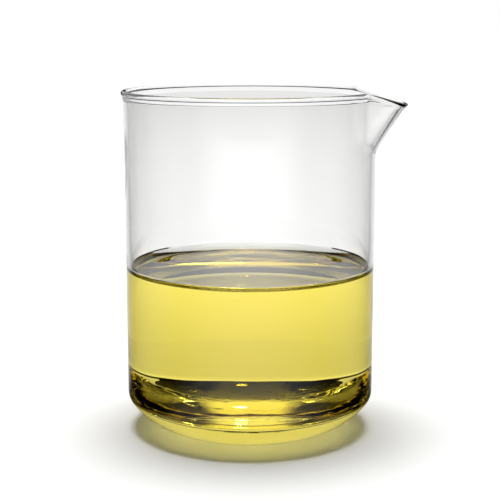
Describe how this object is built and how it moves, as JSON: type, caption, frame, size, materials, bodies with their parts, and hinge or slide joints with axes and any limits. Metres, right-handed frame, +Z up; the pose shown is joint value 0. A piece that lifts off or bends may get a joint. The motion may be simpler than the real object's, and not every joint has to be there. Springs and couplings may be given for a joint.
{
  "type": "low-form laboratory beaker holding oil",
  "caption": "Low-form glass laboratory beaker with a pouring spout, a rolled lip and a rounded heel, about half full of clear yellow oil.",
  "frame": {"origin": "centre of the flat underside, on the bench and on the axis of the round body", "axes": "+Z up along the axis of the body, +X towards the pouring spout, +Y to the left of someone who looks along the spout"},
  "size_m": [0.091, 0.082, 0.11],
  "materials": {
    "borosilicate_glass": "polished",
    "yellow_oil": "polished"
  },
  "bodies": {
    "root": {"beaker_glass": "borosilicate_glass", "oil": "yellow_oil"}
  },
  "joints": []
}
